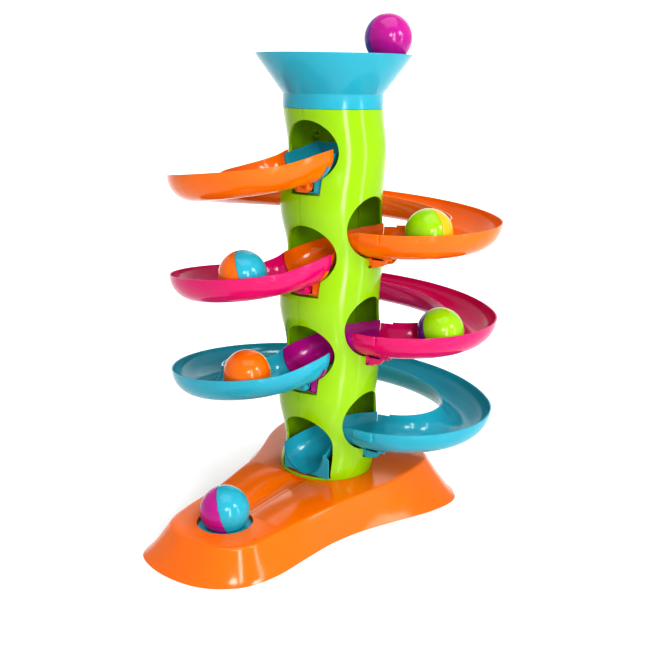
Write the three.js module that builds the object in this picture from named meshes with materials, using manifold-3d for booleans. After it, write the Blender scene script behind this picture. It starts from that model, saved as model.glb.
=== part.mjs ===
// Marble run: a wavy hollow tower with a funnel on top, three looping ramps, four chutes inside the
// tower that pass a ball from one ramp to the next, and a base with a track that ends in a socket.
// Six two-tone balls are part of the toy. Millimetres, +Z up. The origin is the middle of the
// tower's foot on the floor, -Y points along the base's track and +X is the side of the ramp ends.
import * as THREE from 'three';
import { mergeVertices } from 'three/addons/utils/BufferGeometryUtils.js';
import Module from 'manifold-3d';

const wasm = await Module();
wasm.setup();

// ---- driving dimensions ----------------------------------------------------------------------
const GAP = 0.3;                 // clearance between touching pieces

const BALL_RADIUS = 25;
const BALL_WALL = 2;

const LEVELS = 3;                // ramps
const LEVEL_STEP = 105.6;        // height from one ramp to the next
const RAMP_START_Z = 389.2;      // rim height where the top ramp leaves the tower
const RAMP_END_Z = 313.4;        // rim height where the top ramp comes back

const LOOP_CENTRE = { x: -5.7, y: 19.2 };
const LOOP_RADIUS = 152.9;
const RAMP_START_Y = -44;        // the ramp's curve starts here, on the Y axis, heading -Y
const RAMP_HEAD = 5.4;           // straight start that reaches into the tower
const RAMP_HEAD_SLOPE = 0.18;
const RAMP_END_X = 53.9;         // and ends here, on the X axis, heading -X
const RAMP_TAIL = 3.4;           // straight end that reaches through the tower wall
const EVEN_DROP = 12;            // part of the ramp's fall that is the same all the way
const FALL_POWER = 2.1;          // the rest is steeper near the start

const TROUGH_INNER = 26.4;
const TROUGH_WALL = 1.8;
const FLARE = 1.0;               // the ramp's start is this much wider, to take the chute's end
const FLARE_LENGTH = 24;
const INNER_RIM_RISE = 2.5;      // the wall next to the tower is higher
const START_RIM_RISE = 6;        // and the other wall rises towards the ramp's start
const START_RIM_LENGTH = 48;

const CHUTE_INNER = 25.2;
const CHUTE_WALL = 1.4;
const CHUTE_RISE = 4;            // the wall on the outside of the turn is higher
const CHUTE_TURN = 38;           // radius of the quarter turn inside the tower
const CHUTE_START_X = 50;
const CHUTE_END_Y = -46;

const TOWER_RADIUS = 51.6;
const TOWER_WALL = 2.6;
const TOWER_BULGE = 1.3;         // the tower is this much wider, twice over, between its holes
const TOWER_SWAY = 3;            // and its middle swings by this much, in step with the levels
const SWAY_DIRECTION = { x: 0.57, y: 0.82 };
const TOWER_BOTTOM = 40.8;
const TOWER_SHOULDER = 434.4;    // the funnel's collar rests here
const NECK_TOP = 446;
const NECK_RADIUS = 48.9;

const FRONT_HOLE = { across: 2.8, radius: 31.6, rise: 3 };   // its middle, from that of the ramp's rim
const SIDE_HOLE = { across: -1, radius: 30.5, rise: 4 };
const TROUGH_HOLE_RADIUS = 30.4; // lower half of the hole, around the trough
const SLOT_DEPTH = 39.5;         // the slot's floor below the ramp's rim
const FRONT_SLOT = { from: -14.5, to: 21 };
const SIDE_SLOT = { from: -6, to: 16 };
const BOTTOM_SILL = 43;          // the tower's ring below its bottom opening ends here

const COLLAR_BOTTOM = 434.7;
const COLLAR_TOP = 449;
const COLLAR_RADIUS = 51.8;
const FUNNEL_TOP = 488.2;
const FUNNEL_RADIUS = 80.6;
const FUNNEL_WALL = 2.2;
const FUNNEL_HOLE = 28.3;

const EXIT_Z = 69.5;             // rim height of the exit chute's mouth
const EXIT_APRON_RIGHT = FRONT_HOLE.across + FRONT_HOLE.radius - 0.6;
const BASE_TOP = 40.5;           // under the tower
const BASE_NOSE_TOP = 34;        // around the socket
const BASE_WALL = 3;
const TRACK_X = -1.5;
const TRACK_RADIUS = 26.5;
const TRACK_DEPTH = 3.4;
const SOCKET_Y = -170;
const SOCKET_RADIUS = 28;
const SOCKET_FLOOR = 17;
const CUP_RIM = 30.5;
const BASE_BALL_Z = 46.2;

const COLOURS = {
  lime: 0xb4e000, sky: 0x3fc0e4, orange: 0xff7f10, pink: 0xe6127a,
  magenta: 0xc40f96, purple: 0x6f3aa8, yellow: 0xffc21a,
};

// ---- solids ----------------------------------------------------------------------------------
const root = new THREE.Group();

function signedVolume(geometry) {
  const p = geometry.attributes.position;
  const index = geometry.index.array;
  const [a, b, c] = [new THREE.Vector3(), new THREE.Vector3(), new THREE.Vector3()];
  let volume = 0;
  for (let i = 0; i < index.length; i += 3) {
    a.fromBufferAttribute(p, index[i]);
    b.fromBufferAttribute(p, index[i + 1]);
    c.fromBufferAttribute(p, index[i + 2]);
    volume += a.dot(b.cross(c)) / 6;
  }
  return volume;
}

// A closed solid from any closed geometry, with its shared corners merged and its faces outward.
function solid(geometry) {
  const bare = new THREE.BufferGeometry();
  bare.setAttribute('position', geometry.attributes.position);
  if (geometry.index) bare.setIndex(geometry.index);
  const merged = mergeVertices(bare, 1e-4);
  const index = merged.index.array;
  const keep = [];
  for (let i = 0; i < index.length; i += 3) {
    const [a, b, c] = [index[i], index[i + 1], index[i + 2]];
    if (a !== b && b !== c && c !== a) keep.push(a, b, c);
  }
  merged.setIndex(keep);
  if (signedVolume(merged) < 0) {
    for (let i = 0; i < keep.length; i += 3) [keep[i], keep[i + 1]] = [keep[i + 1], keep[i]];
  }
  return new wasm.Manifold(new wasm.Mesh({
    numProp: 3,
    vertProperties: new Float32Array(merged.attributes.position.array),
    triVerts: new Uint32Array(keep),
  }));
}

function geometryOf(manifold) {
  const mesh = manifold.getMesh();
  const geometry = new THREE.BufferGeometry();
  geometry.setAttribute('position', new THREE.BufferAttribute(mesh.vertProperties, 3));
  geometry.setIndex(new THREE.BufferAttribute(mesh.triVerts, 1));
  return geometry;
}

function add(name, manifold, colour) {
  const material = new THREE.MeshStandardMaterial({ color: COLOURS[colour], roughness: 0.2, metalness: 0 });
  const mesh = new THREE.Mesh(geometryOf(manifold), material);
  mesh.name = name;
  root.add(mesh);
}

// Joins rings of equal length into a closed solid; cap gives the end faces as ring index triples.
function loft(rings, cap) {
  const count = rings[0].length;
  const positions = rings.flatMap((ring) => ring.flatMap((p) => [p.x, p.y, p.z]));
  const index = [];
  for (let r = 0; r + 1 < rings.length; r += 1) {
    for (let i = 0; i < count; i += 1) {
      const j = (i + 1) % count;
      const [a, b, c, d] = [r * count + i, r * count + j, (r + 1) * count + j, (r + 1) * count + i];
      index.push(a, b, c, a, c, d);
    }
  }
  const last = (rings.length - 1) * count;
  for (const [a, b, c] of cap) {
    index.push(c, b, a);
    index.push(last + a, last + b, last + c);
  }
  const geometry = new THREE.BufferGeometry();
  geometry.setAttribute('position', new THREE.Float32BufferAttribute(positions, 3));
  geometry.setIndex(index);
  return solid(geometry);
}

// Triangles across an outline, in the outline's own turning direction.
function capOf(outline) {
  const points = outline.map(([x, y]) => new THREE.Vector2(x, y));
  const triangles = THREE.ShapeUtils.triangulateShape(points, []);
  const area = ([a, b, c]) => (points[b].x - points[a].x) * (points[c].y - points[a].y)
    - (points[c].x - points[a].x) * (points[b].y - points[a].y);
  const turn = Math.sign(THREE.ShapeUtils.area(points));
  return triangles.map((t) => (area(t) * turn < 0 ? [t[0], t[2], t[1]] : t));
}

function box(from, to) {
  const size = to.map((value, i) => value - from[i]);
  const geometry = new THREE.BoxGeometry(...size);
  geometry.translate(...to.map((value, i) => (value + from[i]) / 2));
  return solid(geometry);
}

// A cylinder between two points.
function rod(radius, from, to, segments = 32) {
  const start = new THREE.Vector3(...from);
  const axis = new THREE.Vector3(...to).sub(start);
  const geometry = new THREE.CylinderGeometry(radius, radius, axis.length(), segments);
  geometry.translate(0, axis.length() / 2, 0);
  const turn = new THREE.Quaternion().setFromUnitVectors(new THREE.Vector3(0, 1, 0), axis.normalize());
  geometry.applyQuaternion(turn);
  geometry.translate(start.x, start.y, start.z);
  return solid(geometry);
}

function turned(profile, segments) {
  const points = profile.map(([r, z]) => new THREE.Vector2(r, z));
  const geometry = new THREE.LatheGeometry([...points, points[0]], segments);
  geometry.rotateX(Math.PI / 2);
  return solid(geometry);
}

function union(first, ...others) {
  return others.reduce((joined, next) => joined.add(next), first);
}

const smooth = (value) => THREE.MathUtils.smoothstep(value, 0, 1);

// ---- trough ----------------------------------------------------------------------------------
// Half-round section as [outward, up] pairs around the middle of the rims. The corners lie outside
// the inner radius, so that the flat facets of the trough clear a ball of that radius.
const TROUGH_FACETS = 8;

function troughSection(inner, wall, rise = 0, otherRise = 0) {
  const ease = 1 / Math.cos(Math.PI / TROUGH_FACETS / 2);
  const section = [];
  for (let i = 0; i <= TROUGH_FACETS; i += 1) {
    const angle = -Math.PI * i / TROUGH_FACETS;
    section.push([inner * ease * Math.cos(angle), inner * ease * Math.sin(angle)]);
  }
  if (rise > 0) section.push([-inner * ease, rise], [-inner * ease - wall, rise]);
  for (let i = TROUGH_FACETS; i >= 0; i -= 1) {
    const angle = -Math.PI * i / TROUGH_FACETS;
    const outer = inner * ease + wall;
    section.push([outer * Math.cos(angle), outer * Math.sin(angle)]);
  }
  if (otherRise > 0) section.push([inner * ease + wall, otherRise], [inner * ease, otherRise]);
  return section;
}

// Stations are { x, y, z, heading, section }; the section stays upright, across the heading.
function trough(stations) {
  const rings = stations.map(({ x, y, z, heading, section }) => {
    const outward = { x: Math.cos(heading + Math.PI / 2), y: Math.sin(heading + Math.PI / 2) };
    return section.map(([across, up]) => (
      new THREE.Vector3(x + outward.x * across, y + outward.y * across, z + up)));
  });
  return loft(rings, capOf(stations[0].section));
}

// ---- ramp path -------------------------------------------------------------------------------
// Seen from above, the ramp runs clockwise: a lead-out arc from the tower, the big loop, and a
// lead-in arc back to it, each touching the next.
const across = { x: -LOOP_CENTRE.x, y: LOOP_CENTRE.y - RAMP_START_Y };
const LEAD_OUT_RADIUS = (LOOP_RADIUS ** 2 - across.x ** 2 - across.y ** 2)
  / (2 * (LOOP_RADIUS - across.x));
const home = { x: RAMP_END_X - LOOP_CENTRE.x, y: -LOOP_CENTRE.y };
const LEAD_IN_RADIUS = (LOOP_RADIUS ** 2 - home.x ** 2 - home.y ** 2) / (2 * (LOOP_RADIUS + home.y));
const LEAD_OUT = { x: -LEAD_OUT_RADIUS, y: RAMP_START_Y };
const LEAD_IN = { x: RAMP_END_X, y: LEAD_IN_RADIUS };

const outAngle = Math.atan2(LEAD_OUT.y - LOOP_CENTRE.y, LEAD_OUT.x - LOOP_CENTRE.x);
const inAngle = Math.atan2(LEAD_IN.y - LOOP_CENTRE.y, LEAD_IN.x - LOOP_CENTRE.x);
const ARCS = [
  { centre: LEAD_OUT, radius: LEAD_OUT_RADIUS, from: 0, to: outAngle, steps: 9 },
  { centre: LOOP_CENTRE, radius: LOOP_RADIUS, from: outAngle, to: inAngle - 2 * Math.PI, steps: 15 },
  { centre: LEAD_IN, radius: LEAD_IN_RADIUS, from: inAngle, to: -Math.PI / 2, steps: 10 },
];
const arcLength = (arc) => arc.radius * (arc.from - arc.to);
const RAMP_LENGTH = ARCS.reduce((sum, arc) => sum + arcLength(arc), 0);

function rimHeight(fraction) {
  const curved = RAMP_START_Z - RAMP_END_Z - EVEN_DROP;
  return RAMP_START_Z - EVEN_DROP * fraction - curved * (1 - (1 - fraction) ** FALL_POWER);
}

function pointOnRamp(distance) {
  let left = distance;
  let arc = ARCS[0];
  for (const next of ARCS) {
    arc = next;
    if (left <= arcLength(arc)) break;
    if (next !== ARCS[ARCS.length - 1]) left -= arcLength(arc);
  }
  const angle = arc.from - left / arc.radius;
  return {
    x: arc.centre.x + arc.radius * Math.cos(angle),
    y: arc.centre.y + arc.radius * Math.sin(angle),
    z: rimHeight(distance / RAMP_LENGTH),
    heading: angle - Math.PI / 2,
  };
}

const MIN_RISE = 0.01;           // keeps every section's point count the same

function rampSection(distance) {
  const flare = FLARE * (1 - smooth(distance / FLARE_LENGTH));
  const startRise = START_RIM_RISE * (1 - smooth(distance / START_RIM_LENGTH));
  return troughSection(TROUGH_INNER + flare, TROUGH_WALL, INNER_RIM_RISE, startRise + MIN_RISE);
}

// ---- ramps -----------------------------------------------------------------------------------
// Hook under the ramp's start, which drops into the slot of the front hole.
function startHook() {
  const y = -48;
  let hook = box([-9, y - 3.4, -36], [9, y, -24]);
  for (const x of [-9, -1, 7]) {
    hook = hook.add(box([x, y - 9, -33], [x + 2, y - 1, -24]));
  }
  return hook;
}

// Bracket under the ramp's end, which sits against the tower in the slot of the side hole.
function endBracket() {
  const x = RAMP_END_X + 1.2;
  let bracket = box([x, -5.5, -38.5], [x + 2.4, 15, -23]);
  for (const y of [-5.5, 13]) {
    bracket = bracket.add(gusset(x, y));
  }
  return bracket.add(box([x + 1, -5.5, -30.5], [x + 17, 15, -27.5]));
}

function gusset(x, y) {
  const shape = new THREE.Shape([
    new THREE.Vector2(x, -38.5), new THREE.Vector2(x + 6, -38.5),
    new THREE.Vector2(x + 12, -34.5), new THREE.Vector2(x + 22, -26.5), new THREE.Vector2(x, -26.5),
  ]);
  const geometry = new THREE.ExtrudeGeometry(shape, { depth: 2, bevelEnabled: false });
  geometry.rotateX(Math.PI / 2);
  geometry.translate(0, y + 2, 0);
  return solid(geometry);
}

function rampStations() {
  const stations = [];
  let done = 0;
  for (const arc of ARCS) {
    for (let i = stations.length ? 1 : 0; i <= arc.steps; i += 1) {
      const distance = done + arcLength(arc) * i / arc.steps;
      stations.push({ ...pointOnRamp(distance), section: rampSection(distance) });
    }
    done += arcLength(arc);
  }
  const [start, end] = [stations[0], stations[stations.length - 1]];
  stations.unshift({ ...start, y: start.y + RAMP_HEAD, z: start.z + RAMP_HEAD * RAMP_HEAD_SLOPE });
  stations.push({ ...end, x: end.x - RAMP_TAIL });
  return stations;
}

function ramp(drop) {
  const lift = -drop;
  const start = RAMP_START_Z;
  const end = RAMP_END_Z;
  const hook = startHook().subtract(rod(TROUGH_INNER + FLARE + 1.2, [0, 0, 0], [0, -90, 0]));
  const bracket = endBracket().subtract(rod(TROUGH_INNER + 1.2, [0, 0, 0], [120, 0, 0]));
  const tab = box([RAMP_END_X + 1.6, -TROUGH_INNER - 4, -5.5], [RAMP_END_X + 24, -TROUGH_INNER - 1, 1]);
  const notch = box([RAMP_END_X - 8, TROUGH_INNER - 4, 0.6], [RAMP_END_X + 16, TROUGH_INNER + 8, 9]);
  return trough(rampStations())
    .add(hook.translate([0, 0, start]))
    .add(bracket.translate([0, 0, end]))
    .add(tab.translate([0, 0, end]))
    .subtract(notch.translate([0, 0, end]))
    .translate([0, 0, lift]);
}

const rampColours = ['orange', 'pink', 'sky'];
const rampNames = ['orange_ramp', 'pink_ramp', 'blue_ramp'];
for (let level = 0; level < LEVELS; level += 1) {
  add(rampNames[level], ramp(level * LEVEL_STEP), rampColours[level]);
}

// ---- chutes ----------------------------------------------------------------------------------
const chuteSection = troughSection(CHUTE_INNER, CHUTE_WALL, CHUTE_RISE);

// Foot of a chute: a shelf and two cheeks that sit in the slot of the front hole.
function chuteFoot() {
  const [back, front] = [-36, -47.5];
  const [left, right] = [-11.5, 20];
  return union(
    box([left, back - 2.2, -38], [right, back, -22]),
    box([left, front, -38], [right, back, -36.4]),
    box([right - 2.4, front, -38], [right, back, -30.6]),
    box([left, front, -38], [left + 2.1, back, -30.6]),
  );
}

// The chute that crosses the tower from a side hole to the front hole below it.
function crossingChute(startZ, endZ, endY) {
  const straightIn = CHUTE_START_X - CHUTE_TURN;
  const turn = CHUTE_TURN * Math.PI / 2;
  const straightOut = -CHUTE_TURN - endY;
  const length = straightIn + turn;
  const fall = (startZ - endZ);
  const height = (distance) => (distance > length
    ? endZ - RAMP_HEAD_SLOPE * (distance - length)
    : startZ - fall * (0.35 * distance / length + 0.65 * smooth(distance / length)));
  const stations = [{ x: CHUTE_START_X, y: 0, z: startZ, heading: -Math.PI }];
  for (let i = 0; i <= 8; i += 1) {
    const angle = Math.PI / 2 * (1 + i / 8);
    stations.push({
      x: CHUTE_TURN + CHUTE_TURN * Math.cos(angle),
      y: -CHUTE_TURN + CHUTE_TURN * Math.sin(angle),
      z: height(straightIn + turn * i / 8),
      heading: angle + Math.PI / 2,
    });
  }
  stations.push({ x: 0, y: endY, z: height(length + straightOut), heading: -Math.PI / 2 });
  return trough(stations.map((station) => ({ ...station, section: chuteSection })));
}

// The chute below the funnel: straight, with a closed back.
function entryChute() {
  const backY = 12;
  const height = (y) => RAMP_START_Z + RAMP_HEAD_SLOPE * (y - RAMP_START_Y);
  const stations = [backY, CHUTE_END_Y].map((y) => (
    { x: 0, y, z: height(y), heading: -Math.PI / 2, section: troughSection(CHUTE_INNER, CHUTE_WALL) }));
  const outer = CHUTE_INNER + CHUTE_WALL;
  const back = rod(outer, [0, backY - 1.6, height(backY)], [0, backY + 0.4, height(backY)])
    .subtract(box([-40, -40, height(backY)], [40, 40, height(backY) + 40]));
  return union(trough(stations), back, chuteFoot().translate([0, 0, RAMP_START_Z]));
}

// The last chute: its mouth fills the tower's bottom opening with a square apron.
function exitChute() {
  const mouthY = -43.2;
  const start = RAMP_END_Z - (LEVELS - 1) * LEVEL_STEP - 0.6;
  const apron = box([-26, mouthY, BOTTOM_SILL + 0.4], [EXIT_APRON_RIGHT, mouthY + 1.6, EXIT_Z])
    .subtract(rod(CHUTE_INNER, [0, mouthY - 5, EXIT_Z], [0, mouthY + 8, EXIT_Z]));
  return crossingChute(start, EXIT_Z, mouthY).add(apron);
}

add('entry_chute', entryChute(), 'sky');
const chuteColours = ['orange', 'magenta'];
for (let level = 0; level + 1 < LEVELS; level += 1) {
  const startZ = RAMP_END_Z - level * LEVEL_STEP - 0.6;
  const endZ = RAMP_START_Z - (level + 1) * LEVEL_STEP;
  const turnEndZ = endZ + RAMP_HEAD_SLOPE * (-CHUTE_TURN - RAMP_START_Y);
  const chute = crossingChute(startZ, turnEndZ, CHUTE_END_Y).add(chuteFoot().translate([0, 0, endZ]));
  add(`${chuteColours[level]}_chute`, chute, chuteColours[level]);
}
add('exit_chute', exitChute(), 'sky');

// ---- tower -----------------------------------------------------------------------------------
function towerRing(z) {
  const phase = Math.cos(2 * Math.PI * (z - RAMP_START_Z) / LEVEL_STEP);
  const lower = smooth((z - TOWER_BOTTOM) / 30);
  const sway = TOWER_SWAY * (1 + phase) * lower;
  const bulge = TOWER_BULGE * (1 - phase) * (1 - smooth((z - 360) / 40));
  const tuck = 2 * (1 - THREE.MathUtils.clamp((z - TOWER_BOTTOM) / 12, 0, 1)) ** 2;
  return {
    x: SWAY_DIRECTION.x * sway, y: SWAY_DIRECTION.y * sway, radius: TOWER_RADIUS + bulge - tuck,
  };
}

// One half of the tower, side +1 for +X: a C-shaped ring at each height.
function towerHalf(side) {
  const facets = 12;
  const heights = [TOWER_BOTTOM, 46, 53];
  const rows = 18;
  for (let i = 1; i <= rows; i += 1) heights.push(53 + (TOWER_SHOULDER - 53) * i / rows);
  const neck = { x: 0, y: 0, radius: NECK_RADIUS };
  const sections = heights.map((z) => ({ z, ...towerRing(z) }));
  sections.push({ z: TOWER_SHOULDER + 0.01, ...neck }, { z: NECK_TOP, ...neck });
  const rings = sections.map(({ z, x, y, radius }) => {
    const points = [];
    const thickness = z > TOWER_SHOULDER ? TOWER_WALL - 0.6 : TOWER_WALL;
    for (const [r, direction] of [[radius, 1], [radius - thickness, -1]]) {
      const limit = Math.acos((GAP / 2 - side * x) / r);
      for (let i = 0; i <= facets; i += 1) {
        const angle = direction * limit * (2 * i / facets - 1);
        points.push(new THREE.Vector3(x + side * r * Math.cos(angle), y + r * Math.sin(angle), z));
      }
    }
    return points;
  });
  return loft(rings, capOf(rings[0].map((p) => [p.x, p.y])));
}

// Cutters for the holes: an arched opening with a trough-shaped lower half and a slot.
function frontHole(rimZ) {
  const { across: x, radius, rise } = FRONT_HOLE;
  return union(
    rod(radius, [x, -75, rimZ + rise], [x, -22, rimZ + rise], 28),
    rod(TROUGH_HOLE_RADIUS, [0, -75, rimZ], [0, -22, rimZ], 28),
    box([FRONT_SLOT.from, -75, rimZ - SLOT_DEPTH], [FRONT_SLOT.to, -22, rimZ]),
  );
}

function sideHole(rimZ) {
  const { across: y, radius, rise } = SIDE_HOLE;
  return union(
    rod(radius, [22, y, rimZ + rise], [80, y, rimZ + rise], 28),
    rod(TROUGH_HOLE_RADIUS, [22, 0, rimZ], [80, 0, rimZ], 28),
    box([22, SIDE_SLOT.from, rimZ - SLOT_DEPTH], [80, SIDE_SLOT.to, rimZ]),
  );
}

function bottomHole() {
  const middle = RAMP_START_Z - LEVELS * LEVEL_STEP + 7;
  const { across: x, radius } = FRONT_HOLE;
  return union(
    rod(radius, [x, -75, middle], [x, -22, middle], 28),
    box([x - radius, -75, BOTTOM_SILL], [x + radius, -22, middle]),
  );
}

let towerCuts = bottomHole();
for (let level = 0; level < LEVELS; level += 1) {
  towerCuts = towerCuts.add(frontHole(RAMP_START_Z - level * LEVEL_STEP));
  towerCuts = towerCuts.add(sideHole(RAMP_END_Z - level * LEVEL_STEP));
}
add('tower_left_half', towerHalf(-1).subtract(towerCuts), 'lime');
add('tower_right_half', towerHalf(1).subtract(towerCuts), 'lime');

// ---- funnel ----------------------------------------------------------------------------------
const collarInner = NECK_RADIUS + 1.5 * GAP;
add('funnel', turned([
  [COLLAR_RADIUS, COLLAR_BOTTOM],
  [COLLAR_RADIUS, COLLAR_TOP],
  [COLLAR_RADIUS + 0.8, COLLAR_TOP + 0.8],
  [FUNNEL_RADIUS - 0.8, FUNNEL_TOP - 1.6],
  [FUNNEL_RADIUS, FUNNEL_TOP - 0.8],
  [FUNNEL_RADIUS - 0.6, FUNNEL_TOP],
  [FUNNEL_RADIUS - FUNNEL_WALL, FUNNEL_TOP - 0.6],
  [COLLAR_RADIUS - 1.6, COLLAR_TOP + 2.6],
  [FUNNEL_HOLE + 1.5, COLLAR_TOP],
  [FUNNEL_HOLE, COLLAR_TOP - 1],
  [FUNNEL_HOLE, COLLAR_TOP - 2.4],
  [collarInner, COLLAR_TOP - 0.9],
  [collarInner, COLLAR_BOTTOM],
], 40), 'sky');

// ---- base ------------------------------------------------------------------------------------
// Outlines where the base meets the floor and along its top edge, as rows of y, left x and right x
// from the nose to the rear. The left side is wider, because the ramps reach further out there.
const FOOT = [
  [-241, -8, -8], [-237.5, -36, 20], [-226, -61, 42.5], [-205, -72, 61], [-172, -76, 70],
  [-130, -77, 71.5], [-88, -84, 74], [-48, -98, 83], [-5, -120, 99.5], [38, -140, 117],
  [74, -150, 123.5], [97, -145, 114], [114, -112, 86], [119, -10, -10],
];
const CREST = [
  [-219, 0, 0], [-216, -22, 24], [-206, -41, 41.5], [-188, -51.5, 51.5], [-155, -57.5, 55],
  [-118, -60, 61], [-80, -65.5, 71], [-42, -74, 79.5], [-4, -90, 85.5], [34, -108, 87],
  [68, -117, 85.5], [88, -112, 79], [98, -85, 62], [101, -10, -10],
];
const OUTLINE_STEPS = 2;         // facets between outline points

function outline(rows) {
  const right = rows.map(([y, , x]) => new THREE.Vector3(x, y, 0));
  const left = rows.slice(1, -1).reverse().map(([y, x]) => new THREE.Vector3(x, y, 0));
  const curve = new THREE.CatmullRomCurve3([...right, ...left], true, 'catmullrom', 0.5);
  const count = (right.length + left.length) * OUTLINE_STEPS;
  return Array.from({ length: count }, (_, i) => curve.getPoint(i / count));
}

const footOutline = outline(FOOT);
const crestOutline = outline(CREST);
const OUTLINE_COUNT = footOutline.length;

function topHeight(y) {
  return BASE_NOSE_TOP + (BASE_TOP - BASE_NOSE_TOP) * smooth((y + 155) / 100);
}

// The base's outline at a height between the floor (0) and the crest (1), set in by inset.
function baseRing(height, inset, lower = 0) {
  const flare = height ** 0.82;
  const ring = footOutline.map((p, i) => {
    const point = new THREE.Vector3().lerpVectors(p, crestOutline[i], flare);
    point.z = (topHeight(crestOutline[i].y) - lower) * height;
    return point;
  });
  return ring.map((p, i) => {
    const before = ring[(i + OUTLINE_COUNT - 1) % OUTLINE_COUNT];
    const after = ring[(i + 1) % OUTLINE_COUNT];
    const along = new THREE.Vector2(after.x - before.x, after.y - before.y).normalize();
    return new THREE.Vector3(p.x - along.y * inset, p.y + along.x * inset, p.z);
  });
}

// The end faces are strips straight across, because each row has the same y on both sides.
const baseCap = [];
for (let i = 0; i < OUTLINE_COUNT / 2; i += 1) {
  const mirror = (k) => (OUTLINE_COUNT - k) % OUTLINE_COUNT;
  if (i > 0) baseCap.push([i, i + 1, mirror(i)]);
  if (i + 1 < OUTLINE_COUNT / 2) baseCap.push([i + 1, mirror(i + 1), mirror(i)]);
}

function baseSolid() {
  const skin = loft([0, 0.15, 0.4, 0.7, 1].map((h) => baseRing(h, 0)), baseCap);
  const below = baseRing(0, BASE_WALL).map((p) => new THREE.Vector3(p.x, p.y, -5));
  const rings = [0, 0.4, 1].map((h) => baseRing(h, BASE_WALL, BASE_WALL));
  const socket = [TRACK_X, SOCKET_Y];
  const axisZ = (y) => topHeight(y) - TRACK_DEPTH + TRACK_RADIUS;
  const trackFrom = [TRACK_X, -52, axisZ(-52)];
  const trackTo = [TRACK_X, SOCKET_Y, axisZ(SOCKET_Y)];
  const hollow = loft([below, ...rings], baseCap)
    .subtract(rod(TRACK_RADIUS + BASE_WALL, [TRACK_X, -46, axisZ(-46)], trackTo, 40))
    .subtract(rod(SOCKET_RADIUS + BASE_WALL, [...socket, 6], [...socket, 45], 40))
    .subtract(rod(14, [0, 0, -10], [0, 0, 45], 24))
    .subtract(box([-130, -1.5, 4], [110, 1.5, 45]))
    .subtract(box([-1.5, -130, 4], [1.5, 100, 45]));
  const spigot = rod(46.6, [0, 0, 37], [0, 0, 50], 40)
    .subtract(rod(44.2, [0, 0, 30], [0, 0, 60], 40))
    .subtract(box([-60, -60, 30], [60, 4, 60]));
  return skin
    .subtract(hollow)
    .subtract(rod(TRACK_RADIUS, trackFrom, trackTo, 40))
    .subtract(rod(SOCKET_RADIUS, [...socket, SOCKET_FLOOR], [...socket, 60], 40))
    .subtract(rod(SOCKET_RADIUS - 6, [...socket, 0], [...socket, 60], 32))
    .add(spigot);
}

add('base', baseSolid(), 'orange');

// The cup that stops the ball in the socket.
function catchCup() {
  const outer = SOCKET_RADIUS - 0.6;
  const bottom = SOCKET_FLOOR + GAP;
  const bowl = [];
  for (let i = 0; i <= 4; i += 1) {
    const angle = 0.9 * i / 4;
    const radius = BALL_RADIUS + 0.6;
    bowl.push([radius * Math.sin(angle), BASE_BALL_Z - radius * Math.cos(angle)]);
  }
  return turned([
    [0, bottom], [outer, bottom], [outer, CUP_RIM - 1.2], [outer - 1, CUP_RIM],
    [outer - 3, CUP_RIM], ...bowl.reverse(),
  ], 26).translate([TRACK_X, SOCKET_Y, 0]);
}

add('catch_cup', catchCup(), 'sky');

// ---- balls -----------------------------------------------------------------------------------
// Half a hollow ball, open at its seam, facing +Z.
function halfBall() {
  const facets = 4;
  const profile = [];
  const arc = (radius, i) => {
    const rise = GAP / 2;
    const start = Math.asin(rise / radius);
    const angle = start + (Math.PI / 2 - start) * i / facets;
    return [radius * Math.cos(angle), radius * Math.sin(angle)];
  };
  for (let i = 0; i <= facets; i += 1) profile.push(arc(BALL_RADIUS, i));
  for (let i = facets; i >= 0; i -= 1) profile.push(arc(BALL_RADIUS - BALL_WALL, i));
  profile[facets] = [0, BALL_RADIUS];
  profile[facets + 1] = [0, BALL_RADIUS - BALL_WALL];
  return turned(profile, 14);
}

const half = geometryOf(halfBall());

// facing is the direction of the first half.
function ball(name, centre, facing, colours) {
  const direction = new THREE.Vector3(...facing).normalize();
  for (const [i, colour] of colours.entries()) {
    const axis = direction.clone().multiplyScalar(i === 0 ? 1 : -1);
    const geometry = half.clone();
    geometry.applyQuaternion(new THREE.Quaternion().setFromUnitVectors(new THREE.Vector3(0, 0, 1), axis));
    geometry.translate(centre.x, centre.y, centre.z);
    add(`${name}_${i === 0 ? 'first' : 'second'}_half`, solid(geometry), colour);
  }
}

// A ball resting in a ramp, at a fraction of its length.
function onRamp(fraction, level) {
  const slope = (rimHeight(fraction - 0.001) - rimHeight(fraction + 0.001)) / (0.002 * RAMP_LENGTH);
  const { x, y, z } = pointOnRamp(fraction * RAMP_LENGTH);
  const sink = TROUGH_INNER - (BALL_RADIUS + GAP) * Math.hypot(1, slope);
  return { x, y, z: z - sink - level * LEVEL_STEP };
}

ball('funnel_ball', { x: 33.1, y: 50, z: 505.3 }, [-0.9, -0.3, -0.2], ['purple', 'pink']);
ball('orange_ramp_ball', onRamp(0.927, 0), [-0.8, -0.3, 0.2], ['lime', 'yellow']);
ball('pink_ramp_start_ball', onRamp(0.0878, 1), [-0.8, -0.5, 0.1], ['orange', 'sky']);
ball('pink_ramp_end_ball', onRamp(0.904, 1), [-0.8, 0.3, 0], ['purple', 'lime']);
ball('blue_ramp_ball', onRamp(0.0831, 2), [-0.6, -0.6, -0.3], ['orange', 'yellow']);
ball('base_ball', { x: TRACK_X, y: SOCKET_Y, z: BASE_BALL_Z }, [-0.9, -0.4, 0], ['pink', 'sky']);

export default root;
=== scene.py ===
"""Marble run: the looks of each piece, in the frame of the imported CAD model. Metres, +Z up."""

import math

import bmesh
import bpy
import numpy as np
from mathutils import Matrix, Vector

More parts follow.
